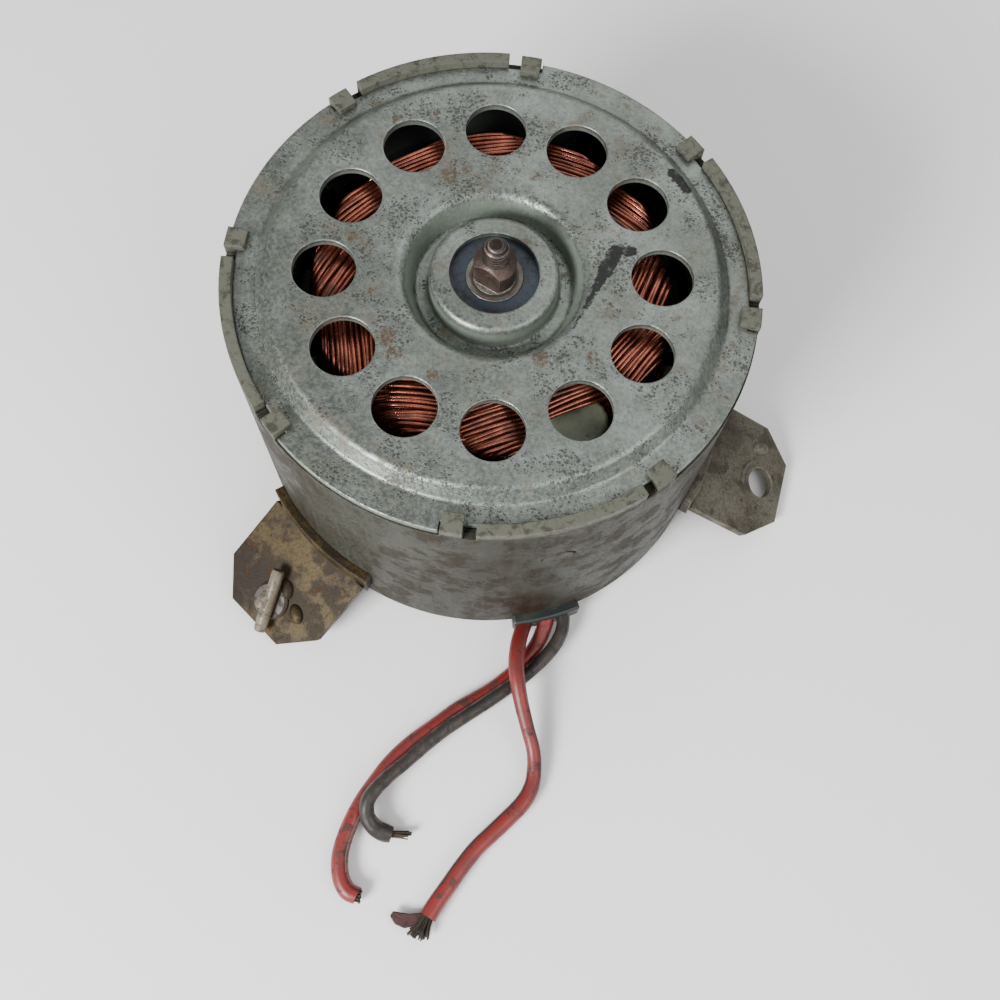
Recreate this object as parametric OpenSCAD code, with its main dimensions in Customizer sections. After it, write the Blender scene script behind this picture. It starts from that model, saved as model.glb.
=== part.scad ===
// Radiator-fan motor: a brushed permanent-magnet motor in a drawn steel can.
// Origin: centre of the rear face, where the motor stands. +Z runs along the shaft to its
// threaded tip. The right-hand mounting ear points along +X.

/* [Can] */
// Outer radius of the drawn can
can_r = 50.4; // [50.2:0.1:50.8]
// Thickness of the can's wall and floor
can_wall = 2.2; // [2:0.1:2.2]
// Outer corner radius between the wall and the floor
corner_r = 4.5; // [4:0.5:5]
// Height of the cap's flat top above the rear face
cap_z = 69; // [69:0.5:72]
// Height of the can's crown lugs above the cap's flange
crown_rise = 1.7; // [1.5:0.1:3]

/* [Cap] */
// Sheet thickness of the cap
cap_sheet = 1.6; // [1.4:0.1:1.8]
// Step from the cap's flat top down to its flange
cap_step = 2.8; // [2.6:0.1:3]
// Number of vent holes
vents = 12; // [8:1:12]
// Radius of a vent hole
vent_r = 5.9; // [4.5:0.1:6.5]
// Radius of the circle that the vent holes lie on
vent_ring_r = 31.3; // [30:0.1:32]
// Radius of the opening over the front bearing
cap_bore_r = 8.4; // [8:0.1:8.8]

/* [Mounting ears] */
// Sheet thickness of an ear
ear_sheet = 2; // [1.8:0.1:2.2]
// Width of an ear's plate
ear_w = 27.4; // [24:0.2:30]
// Length of the plate along its slope
ear_len = 22.3; // [22:0.1:23]
// Slope of the plate below the horizontal, in degrees
ear_slope = 29; // [27:1:29]
// Radius of an ear's bolt hole
ear_hole_r = 3.5; // [2.7:0.1:3.6]

/* [Shaft and rotor] */
// Shaft radius
shaft_r = 4; // [4:0.1:4]
// Distance from the axis to the driving flat
flat_d = 2.9; // [2.8:0.1:3.4]
// Radius of the threaded tip
tip_r = 2.45; // [2:0.05:2.5]
// Radius of the laminated armature core
core_r = 38; // [37:0.1:38]
// Length of the armature core
core_len = 20; // [16:1:20]
// Radius of the commutator's running surface
commutator_r = 12.5; // [12:0.1:12.5]

/* [Leads] */
// Radius of a red lead over its insulation
red_r = 1.7; // [1.4:0.05:1.75]
// Radius of the dark lead over its insulation
dark_r = 1.5; // [1.3:0.05:1.55]

/* [Hidden] */

$fn = 64;
eps = 0.01;

// Angles round the axis
ear_angles = [0, 240, 120];
vent_start = 15;
crown_start = 30;
crown_half = 18;
tab_from = 20.8;
tab_to = 25.4;
relief_half = 25.8;
flat_angle = 254;
grommet_angle = 300.5;

// Can
can_in = can_r - can_wall;
flange_z = cap_z - cap_step;
rim_z = flange_z - cap_sheet;
crown_z = flange_z + crown_rise;
tab_sheet = 1.4;
tab_reach = 3.8;
boss_r = 13.2;
moat_r = 22;
moat_z = 5;
dimple_z = 49;
dimple_r = 3.6;

// 608 bearing
bearing_or = 11;
bearing_w = 7;
ball_r = 1.985;
ball_ring_r = 7.5;
balls = 7;
race_r = 2.03;
front_bearing_z = cap_z - 1 - bearing_w;
rear_bearing_z = can_wall + 0.6;
washer_z = can_wall;

// Rotor
core_z = 33;
core_top = core_z + core_len;
insulator_t = 1;
slots = 12;
bars = 24;
hub_z = 12.2;
riser_z = 22.6;
hub_top = 24.4;
groove_z = front_bearing_z + bearing_w;
drive_z = groove_z + 0.8;
groove_d = 0.35;
shoulder_z = cap_z + 4;
cone_top = shoulder_z + 1.4;
tip_z = cap_z + 10;
thread_pitch = 0.8;

// Magnets
magnets = 4;
magnet_in = 38.8;
magnet_half = 38;
magnet_z = 30;
magnet_len = 28;

// Brush gear
plate_z = 9.6;
plate_t = 2;
holder_z = plate_z + plate_t;
brush_w = 6;
brush_h = 7;
brush_z = 13;
brush_gap = 0.1;
brush_in = commutator_r + 0.05;
brush_out = 27;
holder_in = 14.5;
holder_out = 33;
holder_wall = 0.8;
spring_r = 2.4;
choke_r = 36;
choke_angles = [315, 225];

// Routes of the three leads over the floor, from the grommet to their cut ends
route_red_a = [[22, -46.4, 4.2], [21.7, -49.5, 5.6], [21.8, -53, 6.9], [22.5, -57, 7.6],
    [24, -61, 7.5], [26, -65, 6.4], [28.5, -69.2, 4.7], [31, -73.3, 3], [32.3, -77.5, 2],
    [32.5, -81, 1.7], [31.5, -84.5, 1.7], [29.5, -88, 1.7], [27, -92, 1.7], [24.5, -96, 1.7],
    [22.5, -100.5, 1.7], [21, -104.5, 1.7], [19.5, -108.5, 1.7], [18.6, -111.5, 1.7]];
route_red_b = [[26.3, -44, 4.2], [26.3, -47, 3.6], [25.5, -51, 2.7], [24, -54.5, 2],
    [21.5, -59, 1.7], [17.5, -64, 1.7], [13, -68.5, 1.7], [9, -73.5, 1.7], [5, -78.5, 1.7],
    [2, -83.5, 1.7], [0, -88.5, 1.7], [-1.5, -93, 1.7], [-2.5, -98.5, 1.7], [-2.6, -104, 1.7],
    [-1.3, -108.2, 1.7], [1, -110.8, 1.7], [3.4, -111.3, 1.7]];
route_dark = [[29.8, -43, 4.2], [30.3, -46, 4], [29.7, -49.5, 3.8], [28.2, -53, 3.9],
    [26.2, -56.3, 4.1], [24, -59.5, 4.2], [21.5, -62.5, 4.3], [19, -65.5, 4.4],
    [15, -70, 4.4], [11.5, -74, 4.3], [8.5, -78, 4.1], [5.5, -82.5, 4], [2.6, -86.8, 4.5],
    [0.7, -90.3, 4.9], [0, -93, 4.6], [0.8, -95.6, 3.8], [2.8, -97.3, 2.6], [5, -97.8, 1.8],
    [6.6, -97.8, 1.6]];
ends_red_a = [[18.6, -111.5, 1.7], [18, -114.5, 1.6], [17.7, -117, 1.3]];
ends_red_b = [[3.4, -111.3, 1.7], [4.2, -111.2, 1.7], [5, -110.9, 1.7]];
ends_dark = [[6.6, -97.8, 1.6], [8.6, -97.4, 1.5], [10.8, -96.9, 1.3]];
strand_r = 0.9;
lead_sides = 8;

// Points of an arc in the radius-height plane
function arc(centre, r, from, to, steps = 6) =
    [for (i = [0:steps]) let (a = from + (to - from) * i / steps)
        [centre[0] + r * cos(a), centre[1] + r * sin(a)]];

function unit(v) = v / norm(v);

// Direction of a route at one of its points
function heading(route, i) =
    unit(route[min(i + 1, len(route) - 1)] - route[max(i - 1, 0)]);

function side_of(t) = unit(cross(t, [0, 0, 1]));

function ring_of(route, i, r) =
    let (t = heading(route, i), s = side_of(t), u = cross(s, t))
        [for (k = [0:lead_sides - 1]) let (a = 360 * (k + 0.5) / lead_sides)
            route[i] + r * cos(a) * s + r * sin(a) * u];

// Round tube swept along a route
module swept_tube(route, r) {
    n = lead_sides;
    last = len(route) - 1;
    rings = [for (i = [0:last]) each ring_of(route, i, r)];
    walls = [for (i = [0:last - 1], k = [0:n - 1])
        [i * n + k, i * n + (k + 1) % n, (i + 1) * n + (k + 1) % n, (i + 1) * n + k]];
    start_cap = [for (k = [n - 1:-1:0]) k];
    end_cap = [for (k = [0:n - 1]) last * n + k];
    polyhedron(points = rings, faces = concat(walls, [start_cap, end_cap]));
}

// Part of a ring between two radii, two heights and two angles
module sector(r_in, r_out, z_low, z_high, from, to) {
    rotate_extrude(angle = to - from, start = from)
        translate([r_in, z_low])
            square([r_out - r_in, z_high - z_low]);
}

module ring(r_in, r_out, z_low, z_high) {
    rotate_extrude()
        translate([r_in, z_low])
            square([r_out - r_in, z_high - z_low]);
}

// --- Can and cap ---

can_outline = concat(
    [[0, 0], [boss_r - 1, 0]],
    arc([boss_r - 1, 1], 1, -90, 0, 4),
    arc([boss_r + 1, moat_z - 1], 1, 180, 90, 4),
    [[moat_r - 2, moat_z]],
    arc([moat_r + 2, 2], 2, 150, 270, 5),
    [[can_r - corner_r, 0]],
    arc([can_r - corner_r, corner_r], corner_r, -90, 0, 8),
    [[can_r, rim_z], [can_in, rim_z]],
    arc([can_r - corner_r, corner_r], corner_r - can_wall, 0, -90, 6),
    [[moat_r + 3, can_wall], [moat_r + 1, moat_z + can_wall], [bearing_or, moat_z + can_wall],
        [bearing_or, can_wall], [0, can_wall]]);

module can_envelope() {
    rotate_extrude()
        polygon(concat([[0, 0], [can_r - corner_r, 0]],
            arc([can_r - corner_r, corner_r], corner_r, -90, 0, 8),
            [[can_r, rim_z], [0, rim_z]]));
}

module grommet_slot(width, height) {
    rotate([0, 0, grommet_angle])
        translate([can_r - 8, -width / 2, 4.2 - height / 2])
            cube([12, width, height]);
}

module can_dimple(a) {
    rotate([0, 0, a])
        translate([can_r - 0.45, 0, dimple_z])
            rotate([0, 90, 0]) {
                intersection() {
                    difference() {
                        cylinder(r = dimple_r, h = 3);
                        translate([0, 0, -eps])
                            cylinder(r = dimple_r - 0.7, h = 4);
                    }
                    translate([-10, -10, -1])
                        cube([10, 20, 6]);
                }
                translate([1.2, -1.6, 0])
                    cube([0.4, 3.2, 3]);
            }
}

module motor_can() {
    color([0.46, 0.49, 0.45])
        difference() {
            union() {
                rotate_extrude()
                    polygon(can_outline);
                for (i = [0:3]) {
                    mid = crown_start + 90 * i;
                    sector(can_in, can_r, rim_z - 2, crown_z, mid - crown_half, mid + crown_half);
                    for (s = [-1, 1]) {
                        low = min(s * tab_from, s * tab_to);
                        high = max(s * tab_from, s * tab_to);
                        sector(can_in, can_r, rim_z - 2, flange_z + tab_sheet, mid + low, mid + high);
                        sector(can_in - tab_reach + can_wall, can_in + 0.5, flange_z,
                            flange_z + tab_sheet, mid + low, mid + high);
                    }
                }
            }
            grommet_slot(11.4, 3.6);
            for (i = [0:3])
                can_dimple(crown_start + 90 * i);
        }
}

moat_floor = cap_z - 5.5;
boss_top = cap_z + 0.2;
cap_top_line = concat(
    [[cap_bore_r, boss_top]],
    arc([10.9, boss_top - 1.3], 1.3, 90, 0),
    arc([13, moat_floor + 0.8], 0.8, 180, 270, 4),
    arc([14.2, moat_floor + 1.2], 1.2, 270, 340, 4),
    arc([18.6, cap_z - 2.4], 2.4, 160, 90),
    arc([41.2, cap_z - 1.8], 1.8, 90, 30),
    arc([44.9, flange_z + 1.2], 1.2, 210, 270, 4),
    [[can_r - 0.4, flange_z]]);
cap_under_line = [[can_r - 0.4, rim_z], [44, rim_z], [42.9, rim_z + 1], [41.7, cap_z - 1.9],
    [41, cap_z - cap_sheet], [18.9, cap_z - cap_sheet], [17.8, cap_z - 2], [16.9, cap_z - 4.4],
    [15.6, moat_floor - 1.4], [bearing_or, moat_floor - 1.4],
    [bearing_or, front_bearing_z + bearing_w], [cap_bore_r, front_bearing_z + bearing_w]];

module front_cap() {
    color([0.55, 0.58, 0.55])
        difference() {
            rotate_extrude()
                polygon(concat(cap_top_line, cap_under_line));
            for (i = [0:vents - 1])
                rotate([0, 0, vent_start + i * 360 / vents])
                    translate([vent_ring_r, 0, cap_z - 10])
                        cylinder(r = vent_r, h = 20);
            for (i = [0:3])
                sector(can_in - 0.1, can_r + 2, rim_z - 2, cap_z,
                    crown_start + 90 * i - relief_half, crown_start + 90 * i + relief_half);
        }
}

// --- Mounting ears ---

ear_bend_r = can_r + ear_sheet;
ear_bend_z = 13.2;
ear_flange_top = 18.5;
ear_flange_half = 15.8;
ear_hole_u = 15.8;
ear_chamfer_w = 6.4;
ear_chamfer_u = 7.6;

module ear_plate_outline() {
    half = ear_w / 2;
    polygon([[-1.4, -half], [ear_len - ear_chamfer_u, -half], [ear_len, -half + ear_chamfer_w],
        [ear_len, half - ear_chamfer_w], [ear_len - ear_chamfer_u, half], [-1.4, half]]);
}

module ear(a) {
    rotate([0, 0, a])
        difference() {
            union() {
                sector(can_r, can_r + ear_sheet, ear_bend_z - 2.4, ear_flange_top,
                    -ear_flange_half, ear_flange_half);
                translate([ear_bend_r, 0, ear_bend_z])
                    rotate([0, ear_slope, 0])
                        translate([0, 0, -ear_sheet])
                            linear_extrude(height = ear_sheet)
                                ear_plate_outline();
            }
            cylinder(r = can_r, h = 40);
            translate([ear_bend_r, 0, ear_bend_z])
                rotate([0, ear_slope, 0])
                    translate([ear_hole_u, 0, -10])
                        cylinder(r = ear_hole_r, h = 20);
        }
}

module ear_right() {
    color([0.50, 0.46, 0.36])
        ear(ear_angles[0]);
}

module ear_left() {
    color([0.50, 0.42, 0.28])
        ear(ear_angles[1]);
}

module ear_back() {
    color([0.50, 0.46, 0.36])
        ear(ear_angles[2]);
}

// Nylon push-in clip in the left ear's hole, with its broken stem lying across the head
module ear_clip() {
    color([0.85, 0.83, 0.76])
        rotate([0, 0, ear_angles[1]])
            translate([ear_bend_r, 0, ear_bend_z])
                rotate([0, ear_slope, 0])
                    translate([ear_hole_u, 0, 0]) {
                        translate([0, 0, -3.4])
                            cylinder(r1 = 2.2, r2 = ear_hole_r - 0.1, h = 3.4);
                        cylinder(r = 4.2, h = 1.2);
                        translate([-0.6, 0.4, 2.4])
                            rotate([0, 90, 22]) {
                                translate([0, 0, -7.2])
                                    cylinder(r = 1.45, h = 14.4);
                                translate([0, 0, -1.8])
                                    cylinder(r1 = 1.45, r2 = 2.7, h = 4.2);
                            }
                    }
}

// --- Grommet and leads ---

module cable_grommet() {
    width = 15.6;
    color([0.12, 0.13, 0.13])
        union() {
            difference() {
                intersection() {
                    rotate([0, 0, grommet_angle])
                        translate([can_r - 6, -width / 2, 1.6])
                            cube([12, width, 5.2]);
                    cylinder(r = can_r + 2, h = 20);
                }
                can_envelope();
            }
            intersection() {
                grommet_slot(11.4, 3.6);
                ring(can_in - 2, can_r + 0.5, 0, 10);
            }
        }
}

module lead_red_a() {
    color([0.60, 0.13, 0.10])
        swept_tube(route_red_a, red_r);
}

module lead_red_b() {
    color([0.60, 0.13, 0.10])
        swept_tube(route_red_b, red_r);
}

module lead_dark() {
    color([0.22, 0.17, 0.15])
        swept_tube(route_dark, dark_r);
}

module strands_red_a() {
    color([0.45, 0.25, 0.16])
        swept_tube(ends_red_a, strand_r);
}

module strands_red_b() {
    color([0.45, 0.25, 0.16])
        swept_tube(ends_red_b, strand_r);
}

module strands_dark() {
    color([0.25, 0.20, 0.18])
        swept_tube(ends_dark, strand_r);
}

// --- Magnets ---

module magnet(i) {
    mid = crown_start + 90 * i;
    color([0.25, 0.27, 0.25])
        sector(magnet_in, can_in, magnet_z, magnet_z + magnet_len, mid - magnet_half, mid + magnet_half);
}

// Spring clip that wedges two magnets apart
module magnet_clip(i) {
    mid = crown_start + 45 + 90 * i;
    edge = 45 - magnet_half;
    leg = 0.9;
    color([0.55, 0.55, 0.50]) {
        sector(can_in - 0.8, can_in, magnet_z, magnet_z + magnet_len, mid - edge, mid + edge);
        for (s = [-1, 1])
            sector(magnet_in + 2, can_in - 0.7, magnet_z, magnet_z + magnet_len,
                mid + s * edge - (s > 0 ? leg : 0), mid + s * edge + (s > 0 ? 0 : leg));
    }
}

// --- Brush gear ---

module brush_plate() {
    color([0.35, 0.22, 0.13])
        difference() {
            ring(16.2, can_in - 2.4, plate_z, plate_z + plate_t);
            for (a = [45:120:285])
                rotate([0, 0, a])
                    translate([40, 0, 0])
                        cylinder(r = 1.6, h = 30);
        }
}

module plate_rivets() {
    color([0.55, 0.55, 0.50])
        for (a = [45:120:285])
            rotate([0, 0, a])
                translate([40, 0, 0]) {
                    translate([0, 0, can_wall])
                        cylinder(r = 2.8, h = plate_z - can_wall);
                    translate([0, 0, plate_z - eps])
                        cylinder(r = 1.6, h = plate_t + 2 * eps);
                    translate([0, 0, holder_z])
                        cylinder(r = 2.8, h = 1);
                }
}

module brush_holder(i) {
    color([0.70, 0.55, 0.25])
        rotate([0, 0, 90 * i])
            difference() {
                translate([holder_in, -brush_w / 2 - holder_wall - brush_gap, holder_z])
                    cube([holder_out - holder_in, brush_w + 2 * holder_wall + 2 * brush_gap,
                        brush_z + brush_h + brush_gap + holder_wall - holder_z]);
                translate([holder_in - 1, -brush_w / 2 - brush_gap, brush_z - brush_gap])
                    cube([holder_out - holder_in + 1 - holder_wall, brush_w + 2 * brush_gap,
                        brush_h + 2 * brush_gap]);
            }
}

module brush(i) {
    color([0.18, 0.17, 0.17])
        rotate([0, 0, 90 * i])
            difference() {
                translate([commutator_r - 2, -brush_w / 2, brush_z])
                    cube([brush_out - commutator_r + 2, brush_w, brush_h]);
                translate([0, 0, brush_z - 1])
                    cylinder(r = brush_in, h = brush_h + 2);
            }
}

module brush_spring(i) {
    length = holder_out - holder_wall - brush_out;
    coils = 6;
    color([0.6, 0.6, 0.6])
        rotate([0, 0, 90 * i])
            translate([brush_out, 0, brush_z + brush_h / 2])
                rotate([0, 90, 0])
                    rotate_extrude()
                        polygon(concat(
                            [for (k = [0:2 * coils])
                                [spring_r - (k % 2) * 0.4, length * k / (2 * coils)]],
                            [[spring_r - 0.8, length], [spring_r - 0.8, 0]]));
}

// Suppression choke: a ferrite rod wound with enamelled wire
module choke(a) {
    color([0.50, 0.26, 0.15])
        rotate([0, 0, a])
            translate([choke_r, 0, holder_z + 3.6])
                rotate([90, 0, 0]) {
                    translate([0, 0, -10])
                        cylinder(r = 2.4, h = 20);
                    translate([0, 0, -7])
                        cylinder(r = 3.6, h = 14);
                }
}

// --- Bearings ---

module race_circle() {
    translate([ball_ring_r, bearing_w / 2])
        circle(r = race_r);
}

module bearing_outer(z) {
    color([0.62, 0.63, 0.62])
        translate([0, 0, z])
            rotate_extrude()
                difference() {
                    polygon([[bearing_or, 0], [bearing_or, bearing_w], [9.6, bearing_w],
                        [9.6, bearing_w - 1], [9, bearing_w - 1], [9, 1], [9.6, 1], [9.6, 0]]);
                    race_circle();
                }
}

module bearing_inner(z) {
    color([0.62, 0.63, 0.62])
        translate([0, 0, z])
            rotate_extrude()
                difference() {
                    polygon([[shaft_r, 0], [5.35, 0], [5.35, 1], [6, 1], [6, bearing_w - 1],
                        [5.35, bearing_w - 1], [5.35, bearing_w], [shaft_r, bearing_w]]);
                    race_circle();
                }
}

module bearing_balls(z) {
    color([0.75, 0.75, 0.75])
        for (i = [0:balls - 1])
            rotate([0, 0, i * 360 / balls])
                translate([ball_ring_r, 0, z + bearing_w / 2])
                    sphere(r = ball_r);
}

module bearing_cage(z) {
    color([0.65, 0.55, 0.35])
        difference() {
            ring(6.8, 8.2, z + bearing_w / 2 - 2.4, z + bearing_w / 2 + 2.4);
            for (i = [0:balls - 1])
                rotate([0, 0, i * 360 / balls])
                    translate([ball_ring_r, 0, z + bearing_w / 2])
                        sphere(r = ball_r + 0.06);
        }
}

module bearing_seals(z) {
    color([0.14, 0.22, 0.32]) {
        ring(5.42, 9.6, z + 0.25, z + 0.85);
        ring(5.42, 9.6, z + bearing_w - 0.85, z + bearing_w - 0.25);
    }
}

// Pressed ring that holds a bearing in its pocket; base is the face it is welded to
module bearing_retainer(base, face, up) {
    color([0.55, 0.57, 0.53])
        rotate_extrude()
            polygon([[bearing_or, base], [15.2, base], [15.2, base + up * 1.2],
                [12.2, base + up * 1.2], [12.2, face + up * 1.2], [9.4, face + up * 1.2],
                [9.4, face], [bearing_or, face]]);
}

module front_bearing_outer() { bearing_outer(front_bearing_z); }
module front_bearing_inner() { bearing_inner(front_bearing_z); }
module front_bearing_balls() { bearing_balls(front_bearing_z); }
module front_bearing_cage() { bearing_cage(front_bearing_z); }
module front_bearing_seals() { bearing_seals(front_bearing_z); }
module front_bearing_retainer() { bearing_retainer(moat_floor - 1.4, front_bearing_z, -1); }
module rear_bearing_outer() { bearing_outer(rear_bearing_z); }
module rear_bearing_inner() { bearing_inner(rear_bearing_z); }
module rear_bearing_balls() { bearing_balls(rear_bearing_z); }
module rear_bearing_cage() { bearing_cage(rear_bearing_z); }
module rear_bearing_seals() { bearing_seals(rear_bearing_z); }
module rear_bearing_retainer() {
    bearing_retainer(moat_z + can_wall, rear_bearing_z + bearing_w, 1);
}

module wave_washer() {
    color([0.6, 0.6, 0.6])
        ring(9.2, bearing_or - 0.1, washer_z, rear_bearing_z);
}

// --- Rotor ---

module shaft() {
    thread_turns = floor((tip_z - 0.8 - cone_top) / thread_pitch);
    thread = [for (k = [0:thread_turns - 1]) each [
        [tip_r, cone_top + k * thread_pitch],
        [tip_r - 0.35, cone_top + (k + 0.5) * thread_pitch]]];
    color([0.36, 0.28, 0.23])
        difference() {
            rotate_extrude()
                polygon(concat([[0, 3.4], [shaft_r - 0.5, 3.4], [shaft_r, 3.9],
                    [shaft_r, groove_z], [shaft_r - groove_d, groove_z],
                    [shaft_r - groove_d, drive_z], [shaft_r, drive_z],
                    [shaft_r, shoulder_z]], thread,
                    [[tip_r, cone_top + thread_turns * thread_pitch], [1.4, tip_z], [0, tip_z]]));
            rotate([0, 0, flat_angle])
                translate([flat_d, -10, groove_z])
                    cube([10, 20, tip_z - groove_z]);
        }
}

module spacer_sleeves() {
    color([0.5, 0.5, 0.5]) {
        ring(shaft_r, 5.3, rear_bearing_z + bearing_w, hub_z);
        ring(shaft_r, 5.3, core_top + insulator_t, front_bearing_z);
    }
}

module slot_outline(inset) {
    polygon([[17 + inset, -1.8 + inset / 2], [35.2 - inset, -5.6 + inset],
        [35.2 - inset, 5.6 - inset], [17 + inset, 1.8 - inset / 2]]);
}

module star_outline(r) {
    difference() {
        circle(r = r);
        circle(r = shaft_r);
        for (i = [0:slots - 1])
            rotate([0, 0, i * 360 / slots]) {
                slot_outline(0);
                translate([34, -1.5])
                    square([10, 3]);
            }
    }
}

module armature_core() {
    color([0.30, 0.32, 0.30])
        translate([0, 0, core_z])
            linear_extrude(height = core_len)
                star_outline(core_r);
}

module end_insulator_front() {
    color([0.55, 0.60, 0.48])
        translate([0, 0, core_top])
            linear_extrude(height = insulator_t)
                star_outline(core_r - 0.6);
}

module end_insulator_rear() {
    color([0.55, 0.60, 0.48])
        translate([0, 0, core_z - insulator_t])
            linear_extrude(height = insulator_t)
                star_outline(core_r - 0.6);
}

module armature_winding() {
    top = core_top + insulator_t;
    low = core_z - insulator_t;
    color([0.55, 0.22, 0.13]) {
        rotate_extrude()
            polygon([[15.4, top], [35, top], [35.6, top + 3], [34.6, top + 8],
                [31, cap_z - 4], [24, cap_z - 3.7], [20, cap_z - 5], [17.2, cap_z - 9],
                [15.4, top + 4]]);
        rotate_extrude()
            polygon([[15.4, hub_top + 0.8], [33, hub_top + 0.8], [35.4, hub_top + 3],
                [35.4, low], [15.4, low]]);
        for (i = [0:slots - 1])
            rotate([0, 0, i * 360 / slots])
                translate([0, 0, low - 1])
                    linear_extrude(height = top - low + 2)
                        slot_outline(0.4);
    }
}

module balance_putty() {
    color([0.42, 0.45, 0.38])
        rotate([0, 0, 316])
            translate([30.6, 0, cap_z - 12])
                cylinder(r = 6, h = 8.6);
}

module commutator_bars() {
    color([0.65, 0.36, 0.22])
        difference() {
            rotate_extrude()
                polygon([[9.2, hub_z], [commutator_r, hub_z], [commutator_r, riser_z],
                    [14.6, riser_z], [14.6, hub_top], [9.2, hub_top]]);
            for (i = [0:bars - 1])
                rotate([0, 0, (i + 0.5) * 360 / bars])
                    translate([8, -0.25, hub_z - 1])
                        cube([8, 0.5, hub_top - hub_z + 2]);
        }
}

module commutator_hub() {
    color([0.25, 0.17, 0.12])
        ring(shaft_r, 9.2, hub_z, hub_top);
}

motor_can();
front_cap();
ear_right();
ear_left();
ear_back();
ear_clip();
cable_grommet();
lead_red_a();
lead_red_b();
lead_dark();
strands_red_a();
strands_red_b();
strands_dark();
magnet(0);  // magnet_1
magnet(1);  // magnet_2
magnet(2);  // magnet_3
magnet(3);  // magnet_4
magnet_clip(0);  // magnet_clip_1
magnet_clip(1);  // magnet_clip_2
magnet_clip(2);  // magnet_clip_3
magnet_clip(3);  // magnet_clip_4
brush_plate();
plate_rivets();
brush_holder(0);  // brush_holder_1
brush_holder(1);  // brush_holder_2
brush_holder(2);  // brush_holder_3
brush_holder(3);  // brush_holder_4
brush(0);  // brush_1
brush(1);  // brush_2
brush(2);  // brush_3
brush(3);  // brush_4
brush_spring(0);  // brush_spring_1
brush_spring(1);  // brush_spring_2
brush_spring(2);  // brush_spring_3
brush_spring(3);  // brush_spring_4
choke(choke_angles[0]);  // choke_a
choke(choke_angles[1]);  // choke_b
front_bearing_outer();
front_bearing_inner();
front_bearing_balls();
front_bearing_cage();
front_bearing_seals();
front_bearing_retainer();
rear_bearing_outer();
rear_bearing_inner();
rear_bearing_balls();
rear_bearing_cage();
rear_bearing_seals();
rear_bearing_retainer();
wave_washer();
shaft();
spacer_sleeves();
armature_core();
end_insulator_front();
end_insulator_rear();
armature_winding();
balance_putty();
commutator_bars();
commutator_hub();
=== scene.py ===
import bpy, bmesh, math, random
from mathutils import Matrix, Vector


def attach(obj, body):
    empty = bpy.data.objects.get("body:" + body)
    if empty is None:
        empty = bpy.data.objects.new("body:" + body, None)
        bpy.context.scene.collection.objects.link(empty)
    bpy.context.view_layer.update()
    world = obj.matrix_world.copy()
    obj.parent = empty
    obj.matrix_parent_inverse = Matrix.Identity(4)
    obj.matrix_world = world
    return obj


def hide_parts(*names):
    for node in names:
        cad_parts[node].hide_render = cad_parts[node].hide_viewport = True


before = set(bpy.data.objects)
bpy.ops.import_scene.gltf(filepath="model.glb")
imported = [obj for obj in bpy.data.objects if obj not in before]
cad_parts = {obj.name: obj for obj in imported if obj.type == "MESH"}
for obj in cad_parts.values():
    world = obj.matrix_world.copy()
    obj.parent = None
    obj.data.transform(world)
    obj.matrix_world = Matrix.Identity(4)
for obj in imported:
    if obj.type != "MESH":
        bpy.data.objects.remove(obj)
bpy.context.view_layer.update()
scene = bpy.context.scene
print("frame loaded:", len(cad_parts), "nodes")


# ---- camera

cameraView = {"azimuth": 5.445, "elevation": 70.59, "roll": 10.056, "distance": 0.20438,
              "aim": (0.01777, -0.03987, 0.069), "lens": 42.547, "sensor": 36, "clip": 0.01,
              "shift": (-0.0319, -0.0056)}


def link(thing):
    scene.collection.objects.link(thing)
    return thing


def makeCamera(view):
    az, el, roll = (math.radians(view[key]) for key in ("azimuth", "elevation", "roll"))
    back = Vector((math.sin(az) * math.cos(el), -math.cos(az) * math.cos(el), math.sin(el)))
    level = Vector((math.cos(az), math.sin(az), 0))
    rise = back.cross(level)
    right = math.cos(roll) * level + math.sin(roll) * rise
    up = math.cos(roll) * rise - math.sin(roll) * level
    camera = bpy.data.cameras.new("motorCamera")
    camera.lens = view["lens"]
    camera.sensor_width = view["sensor"]
    camera.shift_x, camera.shift_y = view["shift"]
    camera.clip_start = view["clip"]
    holder = link(bpy.data.objects.new("motorCamera", camera))
    stand = Matrix((right, up, back)).transposed().to_4x4()
    stand.translation = Vector(view["aim"]) + back * view["distance"]
    holder.matrix_world = stand
    scene.camera = holder


makeCamera(cameraView)


# ---- shader helpers

def feed(tree, node, feeds):
    for name, value in feeds.items():
        if isinstance(value, bpy.types.NodeSocket):
            tree.links.new(value, node.inputs[name])
        else:
            node.inputs[name].default_value = value
    return node


def put(tree, kind, feeds=None, **settings):
    node = tree.nodes.new("ShaderNode" + kind)
    for name, value in settings.items():
        setattr(node, name, value)
    return feed(tree, node, feeds or {})


def calc(tree, operation, a, b=0.0, clamp=False):
    return put(tree, "Math", {0: a, 1: b}, operation=operation, use_clamp=clamp).outputs[0]


def plus(tree, a, b, clamp=False):
    return calc(tree, "ADD", a, b, clamp)


def minus(tree, a, b):
    return calc(tree, "SUBTRACT", a, b)


def times(tree, a, b):
    return calc(tree, "MULTIPLY", a, b)


def larger(tree, a, b):
    return calc(tree, "MAXIMUM", a, b)


def vector(tree, operation, a, b):
    # the measuring operations give a number, the others a vector
    measures = operation in ("DISTANCE", "DOT_PRODUCT")
    second = "Scale" if operation == "SCALE" else 1
    return put(tree, "VectorMath", {0: a, second: b}, operation=operation).outputs["Value" if measures else 0]


def objectPlace(tree):
    return put(tree, "TexCoord").outputs["Object"]


def split(tree, value):
    return put(tree, "SeparateXYZ", {0: value}).outputs


def grey(tree, shade):
    return put(tree, "CombineColor", {0: shade, 1: shade, 2: shade}).outputs[0]


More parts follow.
